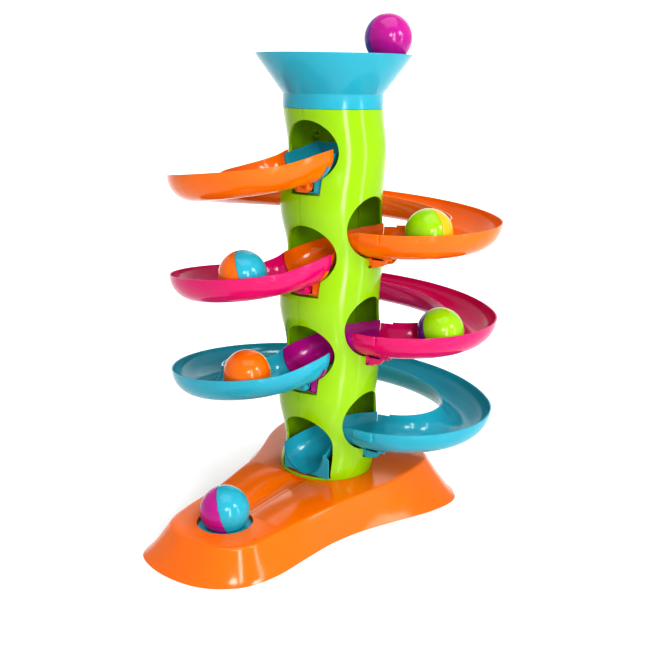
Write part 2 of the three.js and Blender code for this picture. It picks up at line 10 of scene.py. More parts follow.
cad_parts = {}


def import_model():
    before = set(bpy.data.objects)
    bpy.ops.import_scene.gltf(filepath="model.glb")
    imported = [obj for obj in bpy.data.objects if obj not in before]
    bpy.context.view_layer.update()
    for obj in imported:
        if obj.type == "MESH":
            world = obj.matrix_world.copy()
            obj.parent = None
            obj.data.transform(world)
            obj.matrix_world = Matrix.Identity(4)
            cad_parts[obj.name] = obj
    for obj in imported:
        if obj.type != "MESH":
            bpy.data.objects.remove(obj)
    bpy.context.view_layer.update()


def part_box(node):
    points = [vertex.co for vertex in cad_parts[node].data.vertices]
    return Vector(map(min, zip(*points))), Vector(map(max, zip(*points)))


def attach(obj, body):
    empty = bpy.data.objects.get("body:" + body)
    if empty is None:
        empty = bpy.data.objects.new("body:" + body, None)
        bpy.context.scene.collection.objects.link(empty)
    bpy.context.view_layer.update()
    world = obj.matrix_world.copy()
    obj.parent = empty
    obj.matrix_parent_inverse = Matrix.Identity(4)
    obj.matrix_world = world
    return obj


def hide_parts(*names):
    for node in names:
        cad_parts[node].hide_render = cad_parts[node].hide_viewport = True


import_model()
MM = 0.001

# ---- driving dimensions, in millimetres --------------------------------------------------------
BALL_RADIUS = 24.9
LEVELS = 3
LEVEL_STEP = 105.6
RAMP_START_Z = 389.2
RAMP_END_Z = 313.4
LOOP_X, LOOP_Y, LOOP_RADIUS = -5.7, 19.2, 152.9
RAMP_START_Y = -44.0
RAMP_HEAD, RAMP_HEAD_SLOPE = 5.4, 0.18
RAMP_END_X = 53.9
RAMP_TAIL = 3.4
EVEN_DROP, FALL_POWER = 12.0, 2.1
TROUGH_INNER, TROUGH_WALL = 26.55, 1.8
FLARE, FLARE_LENGTH = 1.0, 24.0
INNER_RIM_RISE = 2.5
START_RIM_RISE, START_RIM_LENGTH = 6.0, 48.0
CHUTE_INNER, CHUTE_WALL, CHUTE_RISE = 25.4, 1.4, 4.0
CHUTE_TURN, CHUTE_START_X, CHUTE_END_Y = 38.0, 50.0, -46.0
TOWER_RADIUS, TOWER_WALL, TOWER_BULGE, TOWER_SWAY = 51.6, 2.6, 1.3, 3.0
SWAY_DIRECTION = (0.57, 0.82)
TOWER_BOTTOM, TOWER_SHOULDER, NECK_TOP, NECK_RADIUS = 40.8, 434.4, 446.0, 48.9
FRONT_HOLE_X, FRONT_HOLE_RADIUS, FRONT_HOLE_RISE = 2.8, 31.6, 3.0
SIDE_HOLE_Y, SIDE_HOLE_RADIUS, SIDE_HOLE_RISE = -1.0, 30.5, 4.0
TROUGH_HOLE_RADIUS = 30.4
SLOT_DEPTH, FRONT_SLOT, SIDE_SLOT, BOTTOM_SILL = 39.5, (-14.5, 21.0), (-6.0, 16.0), 43.0
COLLAR_BOTTOM, COLLAR_TOP, COLLAR_RADIUS = 434.7, 449.0, 51.8
FUNNEL_TOP, FUNNEL_RADIUS, FUNNEL_HOLE = 488.2, 80.6, 28.3
EXIT_Z, APRON_RIGHT = 69.5, 33.4
BASE_TOP, BASE_NOSE_TOP = 40.5, 34.0
TRACK_X, TRACK_RADIUS, TRACK_DEPTH = -1.5, 26.5, 3.4
SOCKET_Y, SOCKET_RADIUS, SOCKET_FLOOR, CUP_RIM = -170.0, 28.0, 17.0, 30.5
SEAM, GROOVE = 0.15, 0.6


# ---- materials ---------------------------------------------------------------------------------
def linear(value):
    value /= 255
    return value / 12.92 if value <= 0.04045 else ((value + 0.055) / 1.055) ** 2.4


ALBEDO = 0.74
COLOURS = {
    "lime": (158, 214, 0),
    "sky": (44, 178, 202),
    "orange": (255, 118, 0),
    "pink": (228, 8, 112),
    "magenta": (196, 20, 150),
    "purple": (106, 52, 160),
    "yellow": (255, 190, 20),
}


def plastic(name):
    """Glossy moulded plastic, with a faint pattern in its colour and gloss, and a fine bump."""
    material = bpy.data.materials.new(name)
    material.use_nodes = True
    tree = material.node_tree
    shader = tree.nodes["Principled BSDF"]
    colour = [ALBEDO * linear(c) for c in COLOURS[name]]
    place = tree.nodes.new("ShaderNodeTexCoord")

    def noise(scale, detail):
        node = tree.nodes.new("ShaderNodeTexNoise")
        node.inputs["Scale"].default_value = scale
        node.inputs["Detail"].default_value = detail
        tree.links.new(place.outputs["Object"], node.inputs["Vector"])
        return node

    flow = noise(18, 3)
    ramp = tree.nodes.new("ShaderNodeValToRGB")
    ramp.color_ramp.elements[0].position = 0.35
    ramp.color_ramp.elements[1].position = 0.65
    ramp.color_ramp.elements[0].color = [*(c * 0.95 for c in colour), 1]
    ramp.color_ramp.elements[1].color = [*colour, 1]
    tree.links.new(flow.outputs["Fac"], ramp.inputs["Fac"])
    tree.links.new(ramp.outputs["Color"], shader.inputs["Base Color"])
    gloss = tree.nodes.new("ShaderNodeMapRange")
    gloss.inputs["To Min"].default_value = 0.1
    gloss.inputs["To Max"].default_value = 0.18
    tree.links.new(noise(55, 4).outputs["Fac"], gloss.inputs["Value"])
    tree.links.new(gloss.outputs["Result"], shader.inputs["Roughness"])
    peel = tree.nodes.new("ShaderNodeBump")
    peel.inputs["Strength"].default_value = 0.02
    peel.inputs["Distance"].default_value = 0.0004
    tree.links.new(noise(420, 2).outputs["Fac"], peel.inputs["Height"])
    tree.links.new(peel.outputs["Normal"], shader.inputs["Normal"])
    shader.inputs["IOR"].default_value = 1.5
    shader.inputs["Specular IOR Level"].default_value = 0.33
    shader.inputs["Subsurface Weight"].default_value = 0.06
    shader.inputs["Subsurface Radius"].default_value = (0.004, 0.003, 0.002)
    return material


MATERIALS = {name: plastic(name) for name in COLOURS}


# ---- mesh helpers ------------------------------------------------------------------------------
class Shape:
    """Vertices in millimetres and faces, joined from several closed bodies."""

    def __init__(self):
        self.points = []
        self.faces = []

    def add(self, points, faces):
        first = len(self.points)
        self.points.extend(tuple(p) for p in points)
        self.faces.extend(tuple(first + i for i in f) for f in faces)
        return self

    def loft(self, rings, closed_path=False):
        """Rings of equal length, joined; the ends are capped unless the path closes."""
        count = len(rings[0])
        points = [p for ring in rings for p in ring]
        faces = []
        total = len(rings)
        for r in range(total if closed_path else total - 1):
            a, b = r * count, (r + 1) % total * count
            for i in range(count):
                j = (i + 1) % count
                faces.append((a + i, a + j, b + j, b + i))
        if not closed_path:
            faces.append(tuple(reversed(range(count))))
            faces.append(tuple((total - 1) * count + i for i in range(count)))
        return self.add(points, faces)

    def turned(self, profile, centre=(0, 0), segments=160):
        rings = []
        for k in range(segments):
            c, s = math.cos(math.tau * k / segments), math.sin(math.tau * k / segments)
            rings.append([(centre[0] + r * c, centre[1] + r * s, z) for r, z in profile])
        return self.loft(rings, closed_path=True)

    def prism(self, outline, axis, start, end):
        """An outline in the plane across the axis, run from start to end along it."""
        def at(p, q, along):
            return {"x": (along, p, q), "y": (p, along, q), "z": (p, q, along)}[axis]
        return self.loft([[at(p, q, along) for p, q in outline] for along in (start, end)])

    def box(self, low, high, edge=0.5):
        """A block with rounded edges."""
        bm = bmesh.new()
        bmesh.ops.create_cube(bm, size=1)
        for v in bm.verts:
            for i in range(3):
                v.co[i] = high[i] if v.co[i] > 0 else low[i]
        bmesh.ops.bevel(bm, geom=bm.edges[:], offset=edge, segments=3, profile=0.5, affect="EDGES")
        bm.verts.index_update()
        self.add([v.co[:] for v in bm.verts], [[v.index for v in f.verts] for f in bm.faces])
        bm.free()
        return self

    def mesh(self, name):
        made = bpy.data.meshes.new(name)
        made.from_pydata([tuple(c * MM for c in p) for p in self.points], [], self.faces)
        bm = bmesh.new()
        bm.from_mesh(made)
        bmesh.ops.remove_doubles(bm, verts=bm.verts, dist=1e-6)
        bmesh.ops.recalc_face_normals(bm, faces=bm.faces)
        bm.to_mesh(made)
        bm.free()
        return made


def cylinder(shape, radius, start, end, segments=128):
    start, end = Vector(start), Vector(end)
    turn = (end - start).to_track_quat("Z", "Y")
    rings = []
    for point in (start, end):
        rings.append([tuple(point + turn @ Vector((radius * math.cos(a), radius * math.sin(a), 0)))
                      for a in (math.tau * k / segments for k in range(segments))])
    return shape.loft(rings)


def shade(mesh, angle=35):
    mesh.shade_smooth()
    mesh.set_sharp_from_angle(angle=math.radians(angle))


def cut(made, cutter):
    """Takes a closed shape out of a piece."""
    tool = bpy.data.objects.new("tool", cutter.mesh("tool"))
    bpy.context.scene.collection.objects.link(tool)
    change = made.modifiers.new("cut", "BOOLEAN")
    change.operation = "DIFFERENCE"
    change.solver = "EXACT"
    change.object = tool
    name = made.data.name
    changed = made.evaluated_get(bpy.context.evaluated_depsgraph_get())
    made.data = bpy.data.meshes.new_from_object(changed)
    made.data.name = name
    made.modifiers.clear()
    bpy.data.objects.remove(tool)
    shade(made.data)


def piece(name, shape, colour, body, node, cutter=None):
    """One visible piece, which stands for a CAD node."""
    made = bpy.data.objects.new(name, shape.mesh(name))
    bpy.context.scene.collection.objects.link(made)
    if cutter is not None:
        cut(made, cutter)
    made.data.materials.clear()
    made.data.materials.append(MATERIALS[colour])
    shade(made.data)
    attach(made, body)
    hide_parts(node)
    return made


def smooth(value):
    value = min(max(value, 0.0), 1.0)
    return value * value * (3 - 2 * value)


# ---- ramp path ---------------------------------------------------------------------------------
across_x, across_y = -LOOP_X, LOOP_Y - RAMP_START_Y
OUT_RADIUS = (LOOP_RADIUS**2 - across_x**2 - across_y**2) / (2 * (LOOP_RADIUS - across_x))
home_x, home_y = RAMP_END_X - LOOP_X, -LOOP_Y
IN_RADIUS = (LOOP_RADIUS**2 - home_x**2 - home_y**2) / (2 * (LOOP_RADIUS + home_y))
out_angle = math.atan2(RAMP_START_Y - LOOP_Y, -OUT_RADIUS - LOOP_X)
in_angle = math.atan2(IN_RADIUS - LOOP_Y, RAMP_END_X - LOOP_X)
ARCS = [
    (-OUT_RADIUS, RAMP_START_Y, OUT_RADIUS, 0.0, out_angle),
    (LOOP_X, LOOP_Y, LOOP_RADIUS, out_angle, in_angle - math.tau),
    (RAMP_END_X, IN_RADIUS, IN_RADIUS, in_angle, -math.pi / 2),
]
RAMP_LENGTH = sum(radius * (start - end) for _, _, radius, start, end in ARCS)


def rim_height(fraction):
    curved = RAMP_START_Z - RAMP_END_Z - EVEN_DROP
    return RAMP_START_Z - EVEN_DROP * fraction - curved * (1 - (1 - fraction) ** FALL_POWER)


def point_on_ramp(distance):
    left = distance
    for x, y, radius, start, end in ARCS:
        if left <= radius * (start - end) or (x, y) == ARCS[-1][:2]:
            angle = start - left / radius
            break
        left -= radius * (start - end)
    z = rim_height(min(max(distance / RAMP_LENGTH, 0), 1))
    return x + radius * math.cos(angle), y + radius * math.sin(angle), z, angle - math.pi / 2


# ---- troughs -----------------------------------------------------------------------------------
ARC_STEPS, RIM_STEPS = 30, 7


def trough_section(inner, wall, inner_rise=0.0, outer_rise=0.0):
    """Half-round section with rounded rims, as (outward, up) pairs; either side may be higher."""
    outer, middle = inner + wall, inner + wall / 2
    section = []
    for i in range(ARC_STEPS + 1):
        angle = -math.pi * i / ARC_STEPS
        section.append((inner * math.cos(angle), inner * math.sin(angle)))
    for i in range(1, RIM_STEPS):
        angle = -math.pi * i / RIM_STEPS
        rim = (-middle + wall / 2 * math.cos(angle), inner_rise - wall / 2 * math.sin(angle))
        section.append(rim)
    for i in range(ARC_STEPS, -1, -1):
        angle = -math.pi * i / ARC_STEPS
        section.append((outer * math.cos(angle), outer * math.sin(angle)))
    for i in range(1, RIM_STEPS):
        angle = math.pi * i / RIM_STEPS
        rim = (middle + wall / 2 * math.cos(angle), outer_rise + wall / 2 * math.sin(angle))
        section.append(rim)
    return section


def sweep(shape, stations):
    """stations are (x, y, z, heading, section); the section stays upright, across the heading."""
    rings = []
    for x, y, z, heading, section in stations:
        cx, cy = math.cos(heading + math.pi / 2), math.sin(heading + math.pi / 2)
        rings.append([(x + cx * out, y + cy * out, z + up) for out, up in section])
    return shape.loft(rings)


RIM_DROP = TROUGH_WALL / 2           # the round rims end as high as the CAD's flat ones
NOTCH_START, NOTCH_END, NOTCH_RIM = 15.5, 17.5, 0.6


def inner_rise(distance):
    """The wall next to the tower is higher, and drops with a notch just before the end."""
    left = RAMP_LENGTH - distance
    low = NOTCH_RIM - 3.5 * (1 - smooth(left / 4))
    if left < NOTCH_START:
        return low
    if left < NOTCH_END:
        return NOTCH_RIM - 1.0
    return INNER_RIM_RISE


def ramp_stations():
    spots = list(np.linspace(0, RAMP_LENGTH, 320))
    for edge in (NOTCH_START, NOTCH_END):
        spots += [RAMP_LENGTH - edge - 0.15, RAMP_LENGTH - edge + 0.15]
    spots += [RAMP_LENGTH - e for e in (0.7, 1.4, 2.1, 2.8, 3.5)]
    stations = []
    for distance in sorted(spots):
        x, y, z, heading = point_on_ramp(distance)
        flare = FLARE * (1 - smooth(distance / FLARE_LENGTH))
        start_rise = START_RIM_RISE * (1 - smooth(distance / START_RIM_LENGTH))
        section = trough_section(TROUGH_INNER + flare, TROUGH_WALL,
                                 inner_rise(distance) - RIM_DROP, start_rise - RIM_DROP)
        stations.append((x, y, z, heading, section))
    x, y, z, heading, section = stations[0]
    stations.insert(0, (x, y + RAMP_HEAD, z + RAMP_HEAD * RAMP_HEAD_SLOPE, heading, section))
    x, y, z, heading, section = stations[-1]
    stations.append((x - RAMP_TAIL, y, z, heading, section))
    return stations


def arc_plate(low, high, bottom, radius):
    """A plate below a trough: straight sides and bottom, and a top that follows the trough."""
    top = [(p, -math.sqrt(radius**2 - p * p)) for p in np.linspace(low, high, 13)]
    return [(high, bottom), (low, bottom), *top]


def lobe(low, high, bottom, radius, corner):
    """An arc plate with rounded lower corners."""
    outline = arc_plate(low, high, bottom, radius)[2:]
    for x, turn in ((high - corner, 0), (low + corner, -math.pi / 2)):
        for a in np.linspace(turn, turn - math.pi / 2, 7):
            outline.append((x + corner * math.cos(a), bottom + corner + corner * math.sin(a)))
    return outline


def start_hook(shape, z):
    """Hook under the ramp's start, which drops into the slot of the front hole."""
    radius = TROUGH_INNER + FLARE + 0.9
    plate = [(x, z + up) for x, up in lobe(-10, 11, -37.2, radius, 6)]
    shape.prism(plate, "y", -51.6, -47.8)
    for x in (-10, -1, 9):
        rib = [(p, z + up) for p, up in lobe(x, x + 2, -34, radius, 0.9)]
        shape.prism(rib, "y", -57, -50)


BRACKET_BOTTOM, SLOT_FLOOR = -38.5, -38.9


def end_bracket(shape, z):
    """Bracket under the ramp's end, which sits against the tower in the slot of the side hole."""
    x, radius = RAMP_END_X + 1.2, TROUGH_INNER + 0.9
    plate = [(y, z + up) for y, up in arc_plate(-5.5, 15, BRACKET_BOTTOM, radius)]
    shape.prism(plate, "x", x, x + 2.4)
    for y in (-5.5, 13):
        top = -math.sqrt(radius**2 - y * y)
        gusset = [(x, BRACKET_BOTTOM)]
        for t in np.linspace(0, 1, 16):
            wave = 9 * smooth(t) + 1.2 * math.sin(3 * math.pi * t)
            gusset.append((x + 7 + 18 * t, BRACKET_BOTTOM + wave))
        gusset += [(x + 25, top), (x, top)]
        shape.prism([(p, z + up) for p, up in gusset], "y", y, y + 2)
    shape.box((x + 1, -5.5, z - 30.5), (x + 17, 15, z - 27.5), 0.6)
    for y in (-5.7, 12.8):
        shape.box((x - 7, y, z + SLOT_FLOOR), (x + 2, y + 2.2, z - 28.5), 0.4)
    shape.box((x - 7, -5.7, z + SLOT_FLOOR), (x + 2, 15, z - 36.7), 0.4)
    brace = [(x + 2, z - 37.5), (x + 8, z - 37.5), (x + 3.6, z - 25), (x + 2, z - 25)]
    shape.prism(brace, "y", 1.4, 3.2)


RAMP_STATIONS = ramp_stations()
RAMPS = [("orange_ramp", "orange"), ("pink_ramp", "pink"), ("blue_ramp", "sky")]
for level, (node, colour) in enumerate(RAMPS):
    drop = level * LEVEL_STEP
    shape = Shape()
    sweep(shape, [(x, y, z - drop, *rest) for x, y, z, *rest in RAMP_STATIONS])
    start_hook(shape, RAMP_START_Z - drop)
    end_bracket(shape, RAMP_END_Z - drop)
    z = RAMP_END_Z - drop
    tab_low = (RAMP_END_X + 1.6, -TROUGH_INNER - 3.6, z - 8.5)
    tab_high = (RAMP_END_X + 25, -TROUGH_INNER - 0.4, z + 0.9)
    shape.box(tab_low, tab_high, 0.7)
    piece(f"{node}_body", shape, colour, "frame", node)


# ---- chutes ------------------------------------------------------------------------------------
CHUTE_DROP = CHUTE_WALL / 2
CHUTE_SECTION = trough_section(CHUTE_INNER, CHUTE_WALL, -CHUTE_DROP, -CHUTE_DROP)
CHUTE_TURN_SECTION = trough_section(CHUTE_INNER, CHUTE_WALL, CHUTE_RISE - CHUTE_DROP, -CHUTE_DROP)


def chute_foot(shape, z):
    """A shelf and two cheeks that sit in the slot of the front hole."""
    back, front, radius = -36.0, -47.4, CHUTE_INNER + 0.7
    left, right, bottom, wall = -11.5, 20.0, -38.0, 2.2
    plate = [(x, z + up) for x, up in arc_plate(left, right, bottom, radius)]
    shape.prism(plate, "y", back - wall, back)
    shape.box((left, front, z + bottom), (right, back, z + bottom + 1.8), 0.5)
    shape.box((right - wall, front, z + bottom), (right, back, z - 22), 0.5)
    shape.box((left, front, z + bottom), (left + wall, back, z - 27), 0.5)
    edge = FRONT_HOLE_RADIUS - 0.7
    angles = np.linspace(math.asin((right - FRONT_HOLE_X) / edge), math.radians(66), 14)
    cheek = [(FRONT_HOLE_X + edge * math.sin(a), FRONT_HOLE_RISE - edge * math.cos(a))
             for a in angles]
    ramp = TROUGH_INNER + FLARE + TROUGH_WALL + 0.3
    angles = np.linspace(math.radians(70), math.radians(24), 14)
    cheek += [(ramp * math.sin(a), -ramp * math.cos(a)) for a in angles]
    cheek += [(12, bottom), (right, bottom)]
    shape.prism([(x, z + up) for x, up in cheek], "y", front, front + 3)


def crossing_chute(shape, start_z, end_z, end_y):
    """From a side hole, a quarter turn through the tower, and out of the front hole below."""
    straight_in = CHUTE_START_X - CHUTE_TURN
    turn = CHUTE_TURN * math.pi / 2
    straight_out = -CHUTE_TURN - end_y
    length = straight_in + turn

    def height(distance):
        if distance > length:
            return end_z - RAMP_HEAD_SLOPE * (distance - length)
        share = distance / length
        return start_z - (start_z - end_z) * (0.35 * share + 0.65 * smooth(share))

    stations = [(CHUTE_START_X - d, 0, height(d), -math.pi, CHUTE_TURN_SECTION) for d in (0, 4, 8)]
    for i in range(41):
        angle = math.pi / 2 * (1 + i / 40)
        x = CHUTE_TURN + CHUTE_TURN * math.cos(angle)
        y = -CHUTE_TURN + CHUTE_TURN * math.sin(angle)
        z = height(straight_in + turn * i / 40)
        stations.append((x, y, z, angle + math.pi / 2, CHUTE_TURN_SECTION))
    stations.append((0, end_y, height(length + straight_out), -math.pi / 2, CHUTE_TURN_SECTION))
    return sweep(shape, stations)


def entry_chute():
    back = 12.0
    shape = Shape()
    ends = [back, CHUTE_END_Y]
    heights = [RAMP_START_Z + RAMP_HEAD_SLOPE * (y - RAMP_START_Y) for y in ends]
    sweep(shape, [(0, y, z, -math.pi / 2, CHUTE_SECTION) for y, z in zip(ends, heights)])
    disc = [(CHUTE_INNER * math.cos(a), heights[0] - 0.7 + CHUTE_INNER * math.sin(a))
            for a in np.linspace(-math.pi, 0, 40)]
    shape.prism(disc, "y", back - 1.6, back)
    chute_foot(shape, RAMP_START_Z)
    return shape


def exit_chute():
    mouth = -43.2
    shape = Shape()
    start = RAMP_END_Z - (LEVELS - 1) * LEVEL_STEP - 0.6
    crossing_chute(shape, start, EXIT_Z, mouth)
    radius = CHUTE_INNER + 0.7
    apron = [(APRON_RIGHT, BOTTOM_SILL + 0.4), (APRON_RIGHT, EXIT_Z - 4), (radius, EXIT_Z)]
    angles = np.linspace(0, -math.pi, 60)[1:]
    apron += [(radius * math.cos(a), EXIT_Z + radius * math.sin(a)) for a in angles]
    apron += [(-26, BOTTOM_SILL + 0.4)]
    shape.prism(apron, "y", mouth, mouth + 1.6)
    return shape


piece("entry_chute_body", entry_chute(), "sky", "frame", "entry_chute")
for level, colour in enumerate(("orange", "magenta")):
    shape = Shape()
    end_z = RAMP_START_Z - (level + 1) * LEVEL_STEP
    turn_end = end_z + RAMP_HEAD_SLOPE * (-CHUTE_TURN - RAMP_START_Y)
    crossing_chute(shape, RAMP_END_Z - level * LEVEL_STEP - 0.6, turn_end, CHUTE_END_Y)
    chute_foot(shape, end_z)
    piece(f"{colour}_chute_body", shape, colour, "frame", f"{colour}_chute")
piece("exit_chute_body", exit_chute(), "sky", "frame", "exit_chute")


# ---- tower -------------------------------------------------------------------------------------
def tower_ring(z):
    phase = math.cos(math.tau * (z - RAMP_START_Z) / LEVEL_STEP)
    sway = TOWER_SWAY * (1 + phase) * smooth((z - TOWER_BOTTOM) / 30)
    bulge = TOWER_BULGE * (1 - phase) * (1 - smooth((z - 360) / 40))
    tuck = 2 * (1 - min(max((z - TOWER_BOTTOM) / 12, 0), 1)) ** 2
    return SWAY_DIRECTION[0] * sway, SWAY_DIRECTION[1] * sway, TOWER_RADIUS + bulge - tuck


def tower_half(side):
    facets = 90
    heights = list(np.linspace(TOWER_BOTTOM, TOWER_SHOULDER, 170))
    sections = [(z, *tower_ring(z), TOWER_WALL) for z in heights]
    neck = (0.0, 0.0, NECK_RADIUS, TOWER_WALL - 0.6)
    sections += [(z, *neck) for z in (TOWER_SHOULDER + 0.02, NECK_TOP)]
    rings = []
    for z, x, y, radius, wall in sections:
        ring = []
        for r, direction, gap in ((radius, 1, SEAM), (radius - wall, -1, SEAM + GROOVE)):
            limit = math.acos((gap - side * x) / r)
            for i in range(facets + 1):
                angle = direction * limit * (2 * i / facets - 1)
                ring.append((x + side * r * math.cos(angle), y + r * math.sin(angle), z))
        rings.append(ring)
    return Shape().loft(rings)


def reach(shapes, centre, angle):
    """How far a ray from the centre runs inside a union of circles and rectangles."""
    dx, dz = math.cos(angle), math.sin(angle)
    far = 0.0
    for kind, *numbers in shapes:
        if kind == "circle":
            x, z, radius = numbers
            ox, oz = centre[0] - x, centre[1] - z
            b = ox * dx + oz * dz
            far = max(far, -b + math.sqrt(b * b - (ox * ox + oz * oz - radius * radius)))
        else:
            x0, x1, z0, z1 = numbers
            limits = [((x1 if dx > 0 else x0) - centre[0]) / dx] if abs(dx) > 1e-9 else []
            limits += [((z1 if dz > 0 else z0) - centre[1]) / dz] if abs(dz) > 1e-9 else []
            far = max(far, min(limits))
    return far


def hole_outline(shapes, centre):
    """The outline of overlapping circles and rectangles that all hold the centre."""
    angles = list(np.linspace(0, math.tau, 240, endpoint=False))
    for kind, *numbers in shapes:
        if kind == "box":
            x0, x1, z0, _ = numbers
            angles += [math.atan2(z0 - centre[1], x - centre[0]) % math.tau for x in (x0, x1)]
    outline = []
    for angle in sorted(angles):
        r = reach(shapes, centre, angle)
        outline.append((centre[0] + r * math.cos(angle), centre[1] + r * math.sin(angle)))
    return outline


def tower_holes():
    cutter = Shape()
    for level in range(LEVELS):
        rim = RAMP_START_Z - level * LEVEL_STEP
        front = [("circle", FRONT_HOLE_X, rim + FRONT_HOLE_RISE, FRONT_HOLE_RADIUS),
                 ("circle", 0, rim, TROUGH_HOLE_RADIUS),
                 ("box", *FRONT_SLOT, rim - SLOT_DEPTH, rim)]
        cutter.prism(hole_outline(front, (0.5, rim - 1)), "y", -75, -33)
        rim = RAMP_END_Z - level * LEVEL_STEP
        side = [("circle", SIDE_HOLE_Y, rim + SIDE_HOLE_RISE, SIDE_HOLE_RADIUS),
                ("circle", 0, rim, TROUGH_HOLE_RADIUS),
                ("box", *SIDE_SLOT, rim - SLOT_DEPTH, rim)]
        cutter.prism(hole_outline(side, (0, rim - 1)), "x", 33, 80)
    middle = RAMP_START_Z - LEVELS * LEVEL_STEP + 7
    left, right = FRONT_HOLE_X - FRONT_HOLE_RADIUS, FRONT_HOLE_X + FRONT_HOLE_RADIUS
    bottom = [("circle", FRONT_HOLE_X, middle, FRONT_HOLE_RADIUS),
              ("box", left, right, BOTTOM_SILL, middle)]
    cutter.prism(hole_outline(bottom, (FRONT_HOLE_X, middle - 0.5)), "y", -75, -33)
    return cutter


for side, name in ((-1, "left"), (1, "right")):
    node = f"tower_{name}_half"
    piece(f"tower_{name}_shell", tower_half(side), "lime", "frame", node, tower_holes())


# Round bosses with a recess, on the inside of the tower's rear wall.
BOSS_RADIUS, RECESS_RADIUS = 4.2, 2.4
for level, place in enumerate((Vector((-41.0, 26.6, 406.0)), Vector((-39.0, 29.8, 317.5)))):
    inward = Vector((-place.x, -place.y, 0)).normalized()
    boss = cylinder(Shape(), BOSS_RADIUS, place - 0.5 * inward, place + 4 * inward, 40)
    recess = cylinder(Shape(), RECESS_RADIUS, place + inward, place + 6 * inward, 40)
    piece(f"tower_left_boss_{level + 1}", boss, "lime", "frame", "tower_left_half", recess)


# ---- funnel ------------------------------------------------------------------------------------
def funnel():
    rim = [(FUNNEL_RADIUS - 0.75 + 0.75 * math.cos(a), FUNNEL_TOP - 0.75 + 0.75 * math.sin(a))
           for a in np.linspace(-0.6, math.pi * 0.8, 10)]
    throat = [(FUNNEL_HOLE + 1 - math.cos(a), COLLAR_TOP - 1 + math.sin(a))
              for a in np.linspace(1.5, 0, 6)]
    return Shape().turned([
        (COLLAR_RADIUS - 0.3, COLLAR_BOTTOM), (COLLAR_RADIUS, COLLAR_BOTTOM + 0.4),
        (COLLAR_RADIUS, COLLAR_TOP - 0.4), (COLLAR_RADIUS + 0.3, COLLAR_TOP + 0.3),
        (COLLAR_RADIUS + 1, COLLAR_TOP + 0.9), *rim,
        (COLLAR_RADIUS - 1.6, COLLAR_TOP + 2.6), (COLLAR_RADIUS - 3, COLLAR_TOP + 2),
        (FUNNEL_HOLE + 3, COLLAR_TOP + 0.1), *throat,
        (FUNNEL_HOLE, COLLAR_TOP - 2.4), (NECK_RADIUS + 0.45, COLLAR_TOP - 0.9),
        (NECK_RADIUS + 0.45, COLLAR_BOTTOM),
    ], segments=200)


piece("funnel_body", funnel(), "sky", "frame", "funnel")

# ---- base --------------------------------------------------------------------------------------
# Rows of y, left x and right x from the nose to the rear: on the floor, and along the top edge.
FOOT = [(-241, -8, -8), (-237.5, -36, 20), (-226, -61, 42.5), (-205, -72, 61), (-172, -76, 70),
        (-130, -77, 71.5), (-88, -84, 74), (-48, -98, 83), (-5, -120, 99.5), (38, -140, 117),
        (74, -150, 123.5), (97, -145, 114), (114, -112, 86), (119, -10, -10)]
CREST = [(-219, 0, 0), (-216, -22, 24), (-206, -41, 41.5), (-188, -51.5, 51.5), (-155, -57.5, 55),
         (-118, -60, 61), (-80, -65.5, 71), (-42, -74, 79.5), (-4, -90, 85.5), (34, -108, 87),
         (68, -117, 85.5), (88, -112, 79), (98, -85, 62), (101, -10, -10)]
OUTLINE_STEPS = 10


def closed_curve(rows):
    """A closed smooth curve up the right side of the rows and back down their left side."""
    points = [np.array((right, y), float) for y, _, right in rows]
    points += [np.array((left, y), float) for y, left, _ in reversed(rows[1:-1])]
    count = len(points)
    curve = []
    for k in range(count):
        p0, p1, p2, p3 = (points[(k + i) % count] for i in (-1, 0, 1, 2))
        for s in range(OUTLINE_STEPS):
            t = s / OUTLINE_STEPS
            curve.append(0.5 * (2 * p1 + (p2 - p0) * t + (2 * p0 - 5 * p1 + 4 * p2 - p3) * t * t
                                + (3 * p1 - p0 - 3 * p2 + p3) * t**3))
    curve = np.array(curve)
    low, high = np.min(points, 0), np.max(points, 0)
    return np.clip(curve, low, high)


FOOT_CURVE, CREST_CURVE = closed_curve(FOOT), closed_curve(CREST)
AROUND = len(FOOT_CURVE)


def top_height(y):
    return BASE_NOSE_TOP + (BASE_TOP - BASE_NOSE_TOP) * smooth((y + 155) / 100)


def base_ring(height, inset=0.0, lower=0.0):
    """The base's outline at a height between the floor (0) and the crest (1), set in by inset."""
    flare = height**0.82
    ring = FOOT_CURVE + (CREST_CURVE - FOOT_CURVE) * flare
    along = np.roll(ring, -1, 0) - np.roll(ring, 1, 0)
    along /= np.linalg.norm(along, axis=1)[:, None]
    z = [(top_height(y) - lower) * height for y in CREST_CURVE[:, 1]]
    return [(p[0] - d[1] * inset, p[1] + d[0] * inset, h) for p, d, h in zip(ring, along, z)]


def base_shell():
    """Walls up to a rounded crest, and a top of strips straight across."""
    fillet = np.array([2.4 + 6 * smooth((-150 - y) / 50) for y in CREST_CURVE[:, 1]])[:, None]
    rings = [base_ring(h) for h in np.linspace(0, 0.88, 12)]
    wall, corner = np.array(base_ring(0.93)), np.array(base_ring(1.0))
    top = corner + (np.array(base_ring(1.0, 1.0)) - corner) * fillet
    for t in np.linspace(0, 1, 8):
        ring = (1 - t) ** 2 * wall + 2 * t * (1 - t) * corner + t * t * top
        rings.append([tuple(p) for p in ring])
    points = [p for ring in rings for p in ring]
    faces = []
    for r in range(len(rings) - 1):
        for i in range(AROUND):
            j = (i + 1) % AROUND
            low, high = r * AROUND, (r + 1) * AROUND
            faces.append((low + i, low + j, high + j, high + i))
    for first, turn in ((0, -1), ((len(rings) - 1) * AROUND, 1)):
        for i in range(AROUND // 2):
            mirror, after = (AROUND - i) % AROUND, (AROUND - i - 1) % AROUND
            strip = [first + k for k in (i, i + 1, after, mirror)]
            strip = [k for n, k in enumerate(strip) if k not in strip[:n]]
            faces.append(tuple(strip[::turn]))
    return Shape().add(points, faces)


